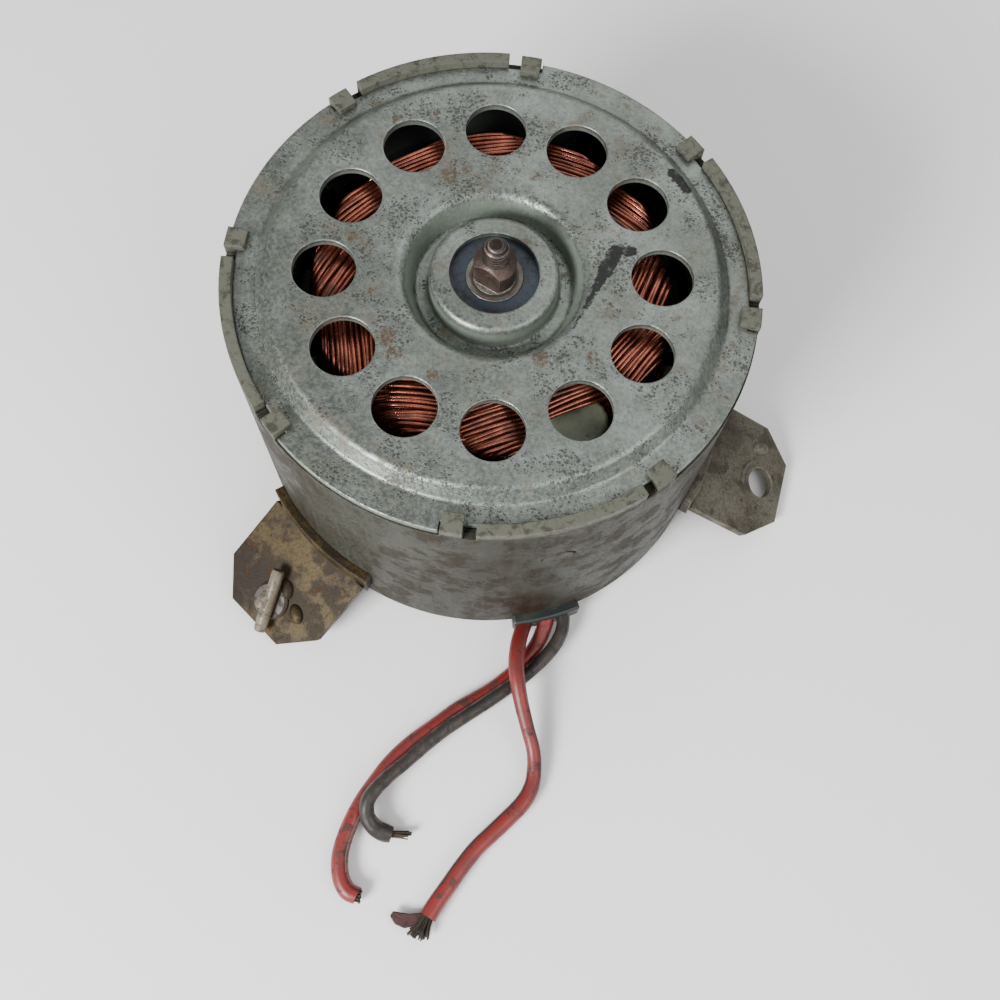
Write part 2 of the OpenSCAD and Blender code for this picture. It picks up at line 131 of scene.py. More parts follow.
def window(tree, value, low, high, start=0.0, end=1.0):
    node = put(tree, "MapRange", {0: value, 1: low, 2: high, 3: start, 4: end},
               interpolation_type="SMOOTHSTEP", clamp=True)
    return node.outputs[0]


def blendColour(tree, share, a, b, mode="MIX"):
    node = put(tree, "Mix", {0: share, 6: a, 7: b}, data_type="RGBA", blend_type=mode)
    return node.outputs[2]


def tint(tree, colour, over, mask, strength=1.0):
    return blendColour(tree, times(tree, mask, strength), colour, over)


def cloud(tree, where, scale, detail=4.0, rough=0.55, twist=0.0):
    return put(tree, "TexNoise", {"Vector": where, "Scale": scale, "Detail": detail,
                                  "Roughness": rough, "Distortion": twist}).outputs[0]


def stretched(tree, where, factor):
    return put(tree, "Mapping", {"Vector": where, "Scale": factor}).outputs[0]


def newGroup(name, takes, gives):
    group = bpy.data.node_groups.new(name, "ShaderNodeTree")
    kinds = {"c": "NodeSocketColor", "f": "NodeSocketFloat", "v": "NodeSocketVector"}
    for label, kind in takes.items():
        group.interface.new_socket(label, in_out="INPUT", socket_type=kinds[kind])
    for label, kind in gives.items():
        group.interface.new_socket(label, in_out="OUTPUT", socket_type=kinds[kind])
    start = group.nodes.new("NodeGroupInput")
    end = group.nodes.new("NodeGroupOutput")
    return group, start.outputs, end.inputs


def place(tree, group, feeds):
    return feed(tree, put(tree, "Group", node_tree=group), feeds).outputs


# ---- shared surface effects

# noise and cell sizes, as repeats in a metre
plateScales = {"broad": 55, "middle": 210, "grain": 1500, "fine": 5200, "rust": 330, "gather": 120,
               "spots": 1450.0, "specks": 3100.0}


def cells(tree, where, scale):
    return put(tree, "TexVoronoi", {"Vector": where, "Scale": scale, "Randomness": 1.0}).outputs["Distance"]


def give(tree, outputs, **values):
    for name, value in values.items():
        tree.links.new(value, outputs[name])


def makeAgedPlate():
    # zinc plate or bare steel: mottling, brown stains, rust, fine dark pits
    takes = {"Clean": "c", "Dull": "c", "Stain": "c", "Rust": "c", "Pit": "c", "Size": "f",
             "Stain Share": "f", "Rust Share": "f", "Pit Share": "f", "Metal": "f"}
    gives = {"Color": "c", "Roughness": "f", "Metallic": "f", "Height": "f"}
    group, take, outputs = newGroup("agedPlate", takes, gives)
    where = objectPlace(group)
    sized = vector(group, "SCALE", where, take["Size"])
    broad = cloud(group, sized, plateScales["broad"], 5)
    middle = cloud(group, sized, plateScales["middle"], 6, 0.62)
    grain = cloud(group, sized, plateScales["grain"], 4, 0.65)
    fine = cloud(group, sized, plateScales["fine"], 2)
    colour = blendColour(group, window(group, broad, 0.36, 0.64), take["Clean"], take["Dull"])
    stainField = plus(group, times(group, middle, 0.7), times(group, broad, 0.3))
    stainEdge = minus(group, 0.80, take["Stain Share"])
    stain = window(group, stainField, stainEdge, plus(group, stainEdge, 0.09))
    colour = tint(group, colour, take["Stain"], stain, 0.75)
    rustField = cloud(group, sized, plateScales["rust"], 7, 0.7, 0.6)
    rustEdge = minus(group, 0.86, take["Rust Share"])
    rust = window(group, rustField, rustEdge, plus(group, rustEdge, 0.07))
    colour = tint(group, colour, take["Rust"], rust, 0.85)
    # pits gather where the mottling is dark, over a finer pepper of specks
    gather = cloud(group, sized, plateScales["gather"], 6, 0.66)
    crowdEdge = minus(group, 0.70, take["Pit Share"])
    crowd = window(group, gather, crowdEdge, plus(group, crowdEdge, 0.20), 0.12, 0.47)
    spots = cells(group, sized, plateScales["spots"])
    specks = cells(group, sized, plateScales["specks"])
    pit = window(group, minus(group, crowd, spots), -0.02, 0.07)
    speck = window(group, minus(group, crowd, specks), -0.05, 0.05)
    pit = larger(group, pit, times(group, speck, 0.7))
    colour = tint(group, colour, take["Pit"], pit, 0.85)
    texture = plus(group, times(group, grain, 0.6), times(group, middle, 0.4))
    shade = window(group, texture, 0.32, 0.68, 0.62, 1.36)
    colour = blendColour(group, 1.0, colour, grey(group, shade), "MULTIPLY")
    rough = plus(group, window(group, grain, 0.3, 0.7, 0.30, 0.50), times(group, stain, 0.14))
    rough = plus(group, rough, times(group, rust, 0.35), True)
    loose = larger(group, times(group, stain, 0.5), larger(group, rust, pit))
    metal = times(group, take["Metal"], minus(group, 1.0, times(group, loose, 0.85)))
    height = plus(group, times(group, grain, 0.55), times(group, fine, 0.30))
    height = minus(group, height, times(group, pit, 0.9))
    height = plus(group, height, times(group, rust, 0.35))
    give(group, outputs, Color=colour, Roughness=rough, Metallic=metal, Height=height)
    return group


def makeSoiledSkin():
    # plastics, rubber, ceramic: soft dirt, smears and a fine grain
    takes = {"Base": "c", "Faded": "c", "Dirt": "c", "Size": "f", "Dirt Share": "f"}
    group, take, outputs = newGroup("soiledSkin", takes, {"Color": "c", "Roughness": "f", "Height": "f"})
    where = objectPlace(group)
    sized = vector(group, "SCALE", where, take["Size"])
    broad = cloud(group, sized, 130, 4)
    smear = cloud(group, sized, 420, 6, 0.62, 0.4)
    grain = cloud(group, sized, 3200, 3, 0.6)
    colour = blendColour(group, window(group, broad, 0.38, 0.66), take["Base"], take["Faded"])
    edge = minus(group, 0.82, take["Dirt Share"])
    dirt = window(group, smear, edge, plus(group, edge, 0.13))
    colour = tint(group, colour, take["Dirt"], dirt, 0.8)
    shade = window(group, grain, 0.25, 0.75, 0.84, 1.14)
    colour = blendColour(group, 1.0, colour, grey(group, shade), "MULTIPLY")
    rough = plus(group, window(group, broad, 0.3, 0.7, 0.38, 0.52), times(group, dirt, 0.25), True)
    height = plus(group, times(group, grain, 0.4), times(group, dirt, 0.5))
    give(group, outputs, Color=colour, Roughness=rough, Height=height)
    return group


def makeEdgeShine():
    # where a rounded edge would catch the light: the bevelled normal leaves the face's own
    group, take, outputs = newGroup("edgeShine", {"Radius": "f", "Break": "f"}, {"Mask": "f", "Normal": "v"})
    soft = put(group, "Bevel", {"Radius": take["Radius"]}, samples=6).outputs[0]
    flat = put(group, "NewGeometry").outputs["True Normal"]
    turn = vector(group, "DOT_PRODUCT", soft, flat)
    mask = window(group, turn, 0.995, 0.86)
    where = objectPlace(group)
    wornSheenNoise = cloud(group, where, 620, 5, 0.65)
    ragged = window(group, wornSheenNoise, minus(group, 0.62, take["Break"]), 0.66, 0.15, 1.0)
    give(group, outputs, Mask=times(group, mask, ragged), Normal=soft)
    return group


def makeScarMark():
    # one ragged stroke of lifted plating between two points
    takes = {"From": "v", "To": "v", "Width": "f", "Ragged": "f"}
    group, take, outputs = newGroup("scarMark", takes, {"Mask": "f"})
    where = objectPlace(group)
    run = vector(group, "SUBTRACT", take["To"], take["From"])
    reach = vector(group, "SUBTRACT", where, take["From"])
    along = vector(group, "DOT_PRODUCT", reach, run)
    whole = vector(group, "DOT_PRODUCT", run, run)
    share = calc(group, "DIVIDE", along, whole, True)
    step = vector(group, "SCALE", run, share)
    away = vector(group, "DISTANCE", reach, step)
    wobble = times(group, minus(group, cloud(group, where, 900, 6, 0.7), 0.5), take["Ragged"])
    near = minus(group, take["Width"], plus(group, away, wobble))
    give(group, outputs, Mask=window(group, near, 0.0, 0.00025))
    return group


agedPlate = makeAgedPlate()
soiledSkin = makeSoiledSkin()
edgeShine = makeEdgeShine()
scarMark = makeScarMark()
print("shader groups made")


# ---- materials

def newMaterial(name):
    material = bpy.data.materials.new(name)
    material.use_nodes = True
    tree = material.node_tree
    return material, tree, tree.nodes["Principled BSDF"]


def bump(tree, height, strength, distance, normal=None):
    feeds = {"Height": height, "Strength": strength, "Distance": distance}
    if normal is not None:
        feeds["Normal"] = normal
    return put(tree, "Bump", feeds).outputs[0]


plateFields = ("clean", "dull", "stain", "rust", "pit", "edge", "shares", "size", "metal", "specular",
               "edgeRadius", "bump", "depth")
# shares are those of stain, rust and pits
# edge is the colour painted on edges: worn metal and a painted highlight together
plateRows = {
    "capZinc": ((0.225, 0.250, 0.228), (0.165, 0.180, 0.158), (0.098, 0.088, 0.064),
        (0.085, 0.040, 0.016), (0.018, 0.018, 0.015), (0.42, 0.46, 0.43),
        (0.27, 0.22, 0.26), 1.0, 0.85, 0.5, 0.0005, 0.5, 0.00014),
    "canZinc": ((0.042, 0.043, 0.034), (0.030, 0.028, 0.021), (0.021, 0.0165, 0.0108),
        (0.045, 0.021, 0.010), (0.012, 0.011, 0.009), (0.13, 0.13, 0.112),
        (0.32, 0.22, 0.20), 0.8, 0.03, 0.03, 0.0004, 0.5, 0.00014),
    "earPlain": ((0.105, 0.098, 0.074), (0.058, 0.050, 0.035), (0.026, 0.020, 0.013),
        (0.055, 0.026, 0.011), (0.013, 0.011, 0.008), (0.24, 0.22, 0.16),
        (0.32, 0.22, 0.20), 1.2, 0.25, 0.22, 0.0006, 0.5, 0.00014),
    "earYellow": ((0.066, 0.047, 0.018), (0.032, 0.020, 0.0095), (0.0115, 0.0080, 0.0060),
        (0.066, 0.030, 0.009), (0.010, 0.008, 0.006), (0.13, 0.105, 0.065),
        (0.36, 0.27, 0.16), 1.0, 0.12, 0.14, 0.0006, 0.5, 0.00014),
    "rustyShaft": ((0.100, 0.072, 0.058), (0.052, 0.032, 0.025), (0.028, 0.017, 0.013),
        (0.070, 0.026, 0.013), (0.010, 0.007, 0.006), (0.30, 0.27, 0.24),
        (0.30, 0.30, 0.24), 2.4, 0.75, 0.5, 0.0003, 0.5, 0.0001),
    "bearingSteel": ((0.190, 0.180, 0.155), (0.110, 0.098, 0.080), (0.065, 0.048, 0.034),
        (0.065, 0.030, 0.013), (0.018, 0.014, 0.010), (0.34, 0.33, 0.30),
        (0.24, 0.22, 0.16), 2.4, 0.85, 0.5, 0.00025, 0.3, 0.00006),
    "springSteel": ((0.17, 0.17, 0.16), (0.11, 0.11, 0.10), (0.06, 0.05, 0.04),
        (0.06, 0.028, 0.013), (0.02, 0.018, 0.015), (0.28, 0.28, 0.26),
        (0.20, 0.18, 0.12), 1.6, 0.85, 0.5, 0.0002, 0.3, 0.00006),
    "holderBrass": ((0.30, 0.20, 0.07), (0.19, 0.12, 0.045), (0.08, 0.055, 0.03),
        (0.055, 0.037, 0.02), (0.03, 0.022, 0.015), (0.46, 0.34, 0.15),
        (0.20, 0.16, 0.12), 1.8, 0.9, 0.5, 0.0002, 0.3, 0.00006),
    "barCopper": ((0.30, 0.12, 0.065), (0.19, 0.08, 0.045), (0.05, 0.03, 0.023),
        (0.035, 0.022, 0.02), (0.025, 0.015, 0.015), (0.42, 0.21, 0.13),
        (0.24, 0.20, 0.12), 2.0, 0.9, 0.5, 0.0002, 0.3, 0.00006),
    "lamination": ((0.055, 0.060, 0.052), (0.034, 0.036, 0.030), (0.022, 0.020, 0.016),
        (0.036, 0.018, 0.010), (0.010, 0.010, 0.009), (0.10, 0.10, 0.09),
        (0.24, 0.20, 0.14), 1.6, 0.6, 0.3, 0.0002, 0.4, 0.0001),
}
plateFinishes = {name: dict(zip(plateFields, row)) for name, row in plateRows.items()}


def opaque(colour):
    return (*colour, 1.0)


def plateNodes(tree, look):
    # the shared start of every metal: aged plate with its edges painted lighter, as wear and as a painted
    # highlight where a rounded edge would catch the light
    stain, rust, pits = look["shares"]
    aged = place(tree, agedPlate, {"Clean": opaque(look["clean"]), "Dull": opaque(look["dull"]),
                                   "Stain": opaque(look["stain"]), "Rust": opaque(look["rust"]),
                                   "Pit": opaque(look["pit"]), "Size": look["size"], "Stain Share": stain,
                                   "Rust Share": rust, "Pit Share": pits, "Metal": look["metal"]})
    edge = place(tree, edgeShine, {"Radius": look["edgeRadius"], "Break": 0.30})
    colour = blendColour(tree, times(tree, edge["Mask"], 0.65), aged["Color"], opaque(look["edge"]))
    return {"colour": colour, "rough": aged["Roughness"], "metal": aged["Metallic"],
            "height": aged["Height"], "normal": edge["Normal"]}


def finishPlate(tree, shader, surface, look):
    normal = bump(tree, surface["height"], look["bump"], look["depth"], surface["normal"])
    feed(tree, shader, {"Base Color": surface["colour"], "Roughness": surface["rough"], "Normal": normal,
                        "Metallic": surface["metal"], "Specular IOR Level": look["specular"]})


def makePlateMaterial(name):
    material, tree, shader = newMaterial(name)
    look = plateFinishes[name]
    finishPlate(tree, shader, plateNodes(tree, look), look)
    return material


capMarks = {
    # strokes of dark residue: from, to, half width
    "strokes": [((23.6, 11.9), (20.8, 11.2), 1.05), ((20.5, 11.0), (19.6, 6.2), 1.5),
                ((19.6, 6.2), (18.6, 2.2), 1.0), ((18.6, 2.2), (17.9, -2.0), 0.7),
                ((17.9, -2.0), (16.6, -6.7), 0.35), ((27.0, 31.0), (30.4, 28.2), 1.2),
                ((27.4, 38.4), (30.4, 37.8), 1.6)],
    # rust spots: centre, radius
    "rust": [((-13.7, 17.7), 3.2), ((-27.5, -0.3), 2.2), ((-15.6, -17.9), 3.6), ((-5.1, -23.0), 2.2),
             ((12.7, -14.4), 3.0), ((21.6, -11.5), 2.2), ((-27.4, 27.0), 1.5), ((-12.8, -21.0), 3.0),
             ((-11.0, 20.0), 1.8), ((24.0, -24.0), 1.8), ((-20.0, 30.5), 1.4), ((2.0, 22.5), 2.4)],
    "tar": (0.006, 0.006, 0.0065), "core": (0.060, 0.062, 0.056),
    "moatWallShade": (0.150, 0.180, 0.146), "halo": (0.060, 0.036, 0.018)}


def onCap(place2d, height=0.069):
    return (place2d[0] / 1000, place2d[1] / 1000, height)


def makeCapMaterial():
    material, tree, shader = newMaterial("capZinc")
    look = plateFinishes["capZinc"]
    surface = plateNodes(tree, look)
    colour, rough, metal, height = (surface[key] for key in ("colour", "rough", "metal", "height"))
    where = objectPlace(tree)
    # rust blooms round a few fixed places, broken up by noise
    broken = cloud(tree, where, 520, 6, 0.68)
    bloom = None
    for spot, radius in capMarks["rust"]:
        away = vector(tree, "DISTANCE", where, onCap(spot))
        near = window(tree, away, radius * 0.00125, radius * 0.0003)
        bloom = near if bloom is None else larger(tree, bloom, near)
    crumbs = cloud(tree, where, 1700, 5, 0.7)
    crust = plus(tree, times(tree, broken, 0.6), times(tree, crumbs, 0.4))
    bloom = window(tree, times(tree, bloom, crust), 0.36, 0.52)
    spread = times(tree, bloom, window(tree, crumbs, 0.35, 0.6, 0.5, 0.95))
    colour = blendColour(tree, spread, colour, opaque(capMarks["halo"]))
    # dark residue strokes with a paler worn core
    stroke = None
    for start, end, width in capMarks["strokes"]:
        mark = place(tree, scarMark, {"From": onCap(start), "To": onCap(end), "Width": width / 1000,
                                      "Ragged": 0.0022})["Mask"]
        stroke = mark if stroke is None else larger(tree, stroke, mark)
    core = window(tree, cloud(tree, where, 620, 6, 0.7), 0.54, 0.64)
    tar = blendColour(tree, core, opaque(capMarks["tar"]), opaque(capMarks["core"]))
    colour = blendColour(tree, stroke, colour, tar)
    # painted shade: steep walls of the moat get a darker green tint, and a duller finish
    depth = split(tree, where)[2]
    lean = split(tree, put(tree, "NewGeometry").outputs["Normal"])[2]
    steepShade = times(tree, window(tree, lean, 0.80, 0.35), window(tree, depth, 0.0689, 0.0672))
    colour = tint(tree, colour, opaque(capMarks["moatWallShade"]), steepShade, 0.7)
    rough = plus(tree, rough, times(tree, stroke, 0.40), True)
    loose = larger(tree, stroke, times(tree, larger(tree, bloom, steepShade), 0.7))
    metal = times(tree, metal, minus(tree, 1.0, loose))
    height = plus(tree, height, times(tree, stroke, times(tree, broken, 2.2)))
    surface.update(colour=colour, rough=rough, metal=metal, height=height)
    finishPlate(tree, shader, surface, look)
    return material


canMarks = {"crownTint": (0.125, 0.127, 0.102), "crownGrime": (0.026, 0.022, 0.016),
            "wash": (0.024, 0.0115, 0.0075), "washCentre": (0.0215, -0.0465, 0.016), "washRadius": 0.014,
            "streak": (0.060, 0.062, 0.050), "crownLow": 0.0650, "crownHigh": 0.0664}


def makeCanMaterial():
    material, tree, shader = newMaterial("canZinc")
    look = plateFinishes["canZinc"]
    surface = plateNodes(tree, look)
    colour = surface["colour"]
    where = objectPlace(tree)
    height = split(tree, where)[2]
    # drawn streaks run up the wall
    streak = cloud(tree, stretched(tree, where, (1.0, 1.0, 0.16)), 420, 5, 0.6)
    drawn = window(tree, streak, 0.42, 0.70, 0.0, 0.35)
    colour = blendColour(tree, drawn, colour, opaque(canMarks["streak"]))
    # sheared crown edges are rough, paler and grimy
    crown = window(tree, height, canMarks["crownLow"], canMarks["crownHigh"])
    colour = tint(tree, colour, opaque(canMarks["crownTint"]), crown, 0.75)
    grimeAndShade = times(tree, crown, window(tree, cloud(tree, where, 520, 7, 0.75, 0.5), 0.48, 0.62))
    colour = tint(tree, colour, opaque(canMarks["crownGrime"]), grimeAndShade, 0.65)
    # brown wash that ran down to the grommet
    away = vector(tree, "DISTANCE", where, canMarks["washCentre"])
    wash = times(tree, window(tree, away, canMarks["washRadius"], canMarks["washRadius"] * 0.25),
                window(tree, cloud(tree, where, 260, 6, 0.65), 0.36, 0.60))
    colour = tint(tree, colour, opaque(canMarks["wash"]), wash, 0.7)
    metal = times(tree, surface["metal"], minus(tree, 1.0, times(tree, wash, 0.5)))
    rise = plus(tree, surface["height"], times(tree, crown, cloud(tree, where, 1300, 4)))
    surface.update(colour=colour, metal=metal, height=rise)
    finishPlate(tree, shader, surface, look)
    return material


skinFields = ("base", "faded", "dirt", "size", "dirtShare", "bump", "depth", "coat")
skinRows = {
    "leadRed": ((0.185, 0.0135, 0.011), (0.120, 0.013, 0.011), (0.022, 0.010, 0.009),
        1.0, 0.30, 0.35, 0.00014, 0.12),
    "leadSoiled": ((0.085, 0.012, 0.010), (0.045, 0.011, 0.009), (0.014, 0.009, 0.007),
        1.4, 0.38, 0.4, 0.00014, 0.05),
    # dark of the cut slit, also used for the painted shade strip on the upper lead
    "slitGrimeAndShade": ((0.012, 0.008, 0.007), (0.022, 0.014, 0.011), (0.040, 0.030, 0.022),
        1.6, 0.24, 0.4, 0.0001, 0.0),
    "slitGrey": ((0.150, 0.120, 0.092), (0.080, 0.060, 0.045), (0.030, 0.020, 0.015),
        1.6, 0.30, 0.4, 0.0001, 0.0),
    "leadDark": ((0.019, 0.0145, 0.011), (0.030, 0.022, 0.016), (0.011, 0.009, 0.008),
        1.0, 0.36, 0.4, 0.00014, 0.05),
    "rubber": ((0.010, 0.014, 0.013), (0.019, 0.024, 0.021), (0.034, 0.031, 0.024),
        1.0, 0.26, 0.35, 0.00015, 0.0),
    "sealBlue": ((0.0075, 0.018, 0.031), (0.011, 0.022, 0.034), (0.020, 0.014, 0.011),
        2.2, 0.34, 0.4, 0.0001, 0.08),
    "nylon": ((0.150, 0.125, 0.088), (0.098, 0.074, 0.046), (0.045, 0.030, 0.017),
        1.6, 0.34, 0.3, 0.0001, 0.0),
    "nylonStained": ((0.046, 0.028, 0.014), (0.032, 0.020, 0.011), (0.016, 0.011, 0.007),
        1.6, 0.34, 0.3, 0.0001, 0.0),
    "putty": ((0.135, 0.150, 0.098), (0.100, 0.112, 0.074), (0.050, 0.052, 0.036),
        1.3, 0.24, 0.5, 0.0002, 0.0),
    "ferrite": ((0.014, 0.017, 0.015), (0.020, 0.023, 0.020), (0.030, 0.027, 0.020),
        1.0, 0.2, 0.4, 0.0002, 0.0),
    "phenolic": ((0.060, 0.027, 0.012), (0.043, 0.021, 0.010), (0.018, 0.012, 0.009),
        1.2, 0.22, 0.3, 0.0001, 0.05),
    "carbon": ((0.015, 0.015, 0.016), (0.023, 0.022, 0.021), (0.035, 0.022, 0.017),
        1.8, 0.18, 0.35, 0.0001, 0.0),
    "insulator": ((0.045, 0.054, 0.033), (0.033, 0.040, 0.025), (0.018, 0.016, 0.012),
        1.3, 0.22, 0.3, 0.0001, 0.0),
}
skinFinishes = {name: dict(zip(skinFields, row)) for name, row in skinRows.items()}


def makeSkinMaterial(name):
    material, tree, shader = newMaterial(name)
    look = skinFinishes[name]
    skin = place(tree, soiledSkin, {"Base": opaque(look["base"]), "Faded": opaque(look["faded"]),
                                    "Dirt": opaque(look["dirt"]), "Size": look["size"],
                                    "Dirt Share": look["dirtShare"]})
    feed(tree, shader, {"Coat Weight": look["coat"], "Coat Roughness": 0.35, "Base Color": skin["Color"],
                        "Roughness": skin["Roughness"],
                        "Normal": bump(tree, skin["Height"], look["bump"], look["depth"])})
    return material


copperLooks = {
    "coilCopper": {"bright": (0.40, 0.125, 0.078), "deep": (0.17, 0.050, 0.033),
                   "sooty": (0.028, 0.015, 0.012), "soot": 0.22, "rough": (0.20, 0.36), "metal": 0.9,
                   "coat": 0.35},
    "cutStrands": {"bright": (0.060, 0.044, 0.028), "deep": (0.032, 0.023, 0.016),
                   "sooty": (0.014, 0.012, 0.010), "soot": 0.30, "rough": (0.45, 0.70), "metal": 0.45,
                   "coat": 0.0},
}


def makeCopperMaterial(name):
    material, tree, shader = newMaterial(name)
    look = copperLooks[name]
    where = objectPlace(tree)
    lay = cloud(tree, where, 240, 4)
    soot = window(tree, cloud(tree, where, 95, 5, 0.6), 0.76 - look["soot"], 0.90 - look["soot"])
    colour = blendColour(tree, window(tree, lay, 0.36, 0.66), opaque(look["bright"]), opaque(look["deep"]))
    colour = tint(tree, colour, opaque(look["sooty"]), soot, 0.75)
    fine = cloud(tree, where, 2600, 3)
    low, high = look["rough"]
    rough = plus(tree, window(tree, fine, 0.3, 0.7, low, high), times(tree, soot, 0.3), True)
    feed(tree, shader, {"Coat Roughness": 0.15, "Coat Weight": look["coat"], "Base Color": colour,
                        "Roughness": rough, "Metallic": minus(tree, look["metal"], times(tree, soot, 0.5)),
                        "Normal": bump(tree, fine, 0.08, 0.00005)})
    return material


shaftMarks = {"threadFrom": 0.0742, "threadFull": 0.0745, "pitch": 0.0008, "grooveShade": (0.016, 0.011, 0.009),
              "crestGlint": (0.24, 0.215, 0.19), "ledge": (0.20, 0.20, 0.165), "ledgeTop": 0.0682,
              "ledgeLow": 0.0680, "centreHole": 0.0011, "tip": 0.0788}


def fromAxis(tree, parts):
    flat = put(tree, "CombineXYZ", {0: parts[0], 1: parts[1]}).outputs[0]
    return put(tree, "VectorMath", {0: flat}, operation="LENGTH").outputs["Value"]


def makeShaftMaterial():
    material, tree, shader = newMaterial("rustyShaft")
    look = plateFinishes["rustyShaft"]
    surface = plateNodes(tree, look)
    where = objectPlace(tree)
    parts = split(tree, where)
    facing = split(tree, put(tree, "NewGeometry").outputs["True Normal"])[2]
    radius = fromAxis(tree, parts)
    # worn thread on the tip: painted shade in its grooves and painted glints on its crests, over a bumped
    # thread
    winding = plus(tree, times(tree, parts[2], math.tau / shaftMarks["pitch"]),
                   calc(tree, "ARCTAN2", parts[1], parts[0]))
    ridge = calc(tree, "SINE", winding)
    threaded = times(tree, window(tree, parts[2], shaftMarks["threadFrom"], shaftMarks["threadFull"]),
                     window(tree, facing, 0.9, 0.6))
    patchy = window(tree, cloud(tree, where, 1100, 5, 0.65), 0.36, 0.60, 0.1, 1.0)
    grooveShade = times(tree, window(tree, ridge, 0.1, -0.5), threaded)
    crestGlint = times(tree, times(tree, window(tree, ridge, 0.45, 0.95), threaded), patchy)
    colour = blendColour(tree, times(tree, grooveShade, 0.85), surface["colour"], opaque(shaftMarks["grooveShade"]))
    colour = tint(tree, colour, opaque(shaftMarks["crestGlint"]), crestGlint, 0.7)
    # pale ledge at the foot of the flat, and painted shade in the drilled centre of the tip
    ledge = times(tree, window(tree, facing, 0.7, 0.9),
                  window(tree, parts[2], shaftMarks["ledgeTop"], shaftMarks["ledgeLow"]))
    colour = tint(tree, colour, opaque(shaftMarks["ledge"]), ledge, patchy)
    # painted shade: dark disc for the inside of the centre hole
    hole = times(tree, window(tree, radius, shaftMarks["centreHole"] * 1.15, shaftMarks["centreHole"] * 0.9),
                window(tree, parts[2], shaftMarks["tip"], shaftMarks["tip"] + 0.0001))
    colour = tint(tree, colour, opaque(shaftMarks["grooveShade"]), hole, 0.92)
    cut = times(tree, times(tree, ridge, threaded), 1.1)
    surface.update(colour=colour, height=plus(tree, surface["height"], cut))
    finishPlate(tree, shader, surface, look)
    return material


bearingMarks = {"gap": 0.00470, "grimeAndShade": (0.014, 0.010, 0.008)}


def makeBearingMaterial():
    material, tree, shader = newMaterial("bearingSteel")
    look = plateFinishes["bearingSteel"]
    surface = plateNodes(tree, look)
    where = objectPlace(tree)
    parts = split(tree, where)
    radius = fromAxis(tree, parts)
    # painted shade in the gap round the shaft: a dark ring on the inner race
    ragged = times(tree, minus(tree, cloud(tree, where, 800, 5), 0.5), 0.0007)
    grimeAndShade = window(tree, plus(tree, radius, ragged), bearingMarks["gap"], bearingMarks["gap"] - 0.0002)
    colour = blendColour(tree, times(tree, grimeAndShade, 0.9), surface["colour"], opaque(bearingMarks["grimeAndShade"]))
    surface.update(colour=colour, metal=times(tree, surface["metal"], minus(tree, 1.0, grimeAndShade)))
    finishPlate(tree, shader, surface, look)
    return material


materials = {"capZinc": makeCapMaterial(), "canZinc": makeCanMaterial(), "rustyShaft": makeShaftMaterial(),
             "bearingSteel": makeBearingMaterial()}
for name in plateFinishes:
    if name not in materials:
        materials[name] = makePlateMaterial(name)
for name in skinFinishes:
    materials[name] = makeSkinMaterial(name)
for name in copperLooks:
    materials[name] = makeCopperMaterial(name)
print("materials made:", len(materials))


# ---- mesh helpers

def turned(degrees, axis="Z"):
    return Matrix.Rotation(math.radians(degrees), 4, axis)


def shifted(x, y, z):
    # by millimetres
    return Matrix.Translation((x / 1000, y / 1000, z / 1000))


def metres(points):
    return [Vector(point) / 1000 for point in points]


def newVerts(grown):
    return [item for item in grown if isinstance(item, bmesh.types.BMVert)]


def revolve(bm, profile, steps, closed):
    # a profile of radii and heights turned once round the axis
    loop = [bm.verts.new((r / 1000, 0, z / 1000)) for r, z in profile]
    following = loop[1:] + loop[:1] if closed else loop[1:]
    edges = [bm.edges.new(pair) for pair in zip(loop, following)]
    bmesh.ops.spin(bm, geom=loop + edges, cent=(0, 0, 0), axis=(0, 0, 1), angle=math.tau, steps=steps,
                   use_merge=True)


def finishMesh(bm, name, materialNames, body, nodes=(), angle=40):
    # edges sharper than the angle stay crisp
    bmesh.ops.recalc_face_normals(bm, faces=bm.faces)
    for face in bm.faces:
        face.smooth = True
    for edge in bm.edges:
        if len(edge.link_faces) == 2 and edge.calc_face_angle(0) > math.radians(angle):
            edge.smooth = False
    mesh = bpy.data.meshes.new(name)
    bm.to_mesh(mesh)
    bm.free()
    for materialName in materialNames:
        mesh.materials.append(materials[materialName])
    piece = link(bpy.data.objects.new(name, mesh))
    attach(piece, body)
    if nodes:
        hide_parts(*nodes)
    return piece


def pathFrames(points):
    # upright frames carried along a path without twist
    count = len(points)
    heading = [(points[min(i + 1, count - 1)] - points[max(i - 1, 0)]).normalized() for i in range(count)]
    turn = Vector((0, 0, 1)).rotation_difference(heading[0])
    frames = []
    for i in range(count):
        if i:
            turn = heading[i - 1].rotation_difference(heading[i]) @ turn
        frames.append(Matrix.Translation(points[i]) @ turn.to_matrix().to_4x4())
    return frames


def sweepTube(bm, points, radii, sides=8, flatten=1.0):
    # a ring carried along the path and extruded at each step
    frames = pathFrames(points)
    start = frames[0] @ Matrix.Diagonal((radii[0], radii[0] * flatten, 1, 1))
    made = bmesh.ops.create_circle(bm, cap_ends=False, radius=1.0, segments=sides, matrix=start)["verts"]
    rim = first = list({edge for vert in made for edge in vert.link_edges})
    everything = list(made)
    previous = start
    for i in range(1, len(points)):
        grown = bmesh.ops.extrude_edge_only(bm, edges=rim)["geom"]
        fresh = newVerts(grown)
        freshSet = set(fresh)
        rim = [item for item in grown if isinstance(item, bmesh.types.BMEdge)
               and item.verts[0] in freshSet and item.verts[1] in freshSet]
        here = frames[i] @ Matrix.Diagonal((radii[i], radii[i] * flatten, 1, 1))
        bmesh.ops.transform(bm, matrix=here @ previous.inverted(), verts=fresh)
        previous = here
        everything += fresh
    for edges in (first, rim):
        bmesh.ops.contextual_create(bm, geom=list({vert for edge in edges for vert in edge.verts}))
    return everything


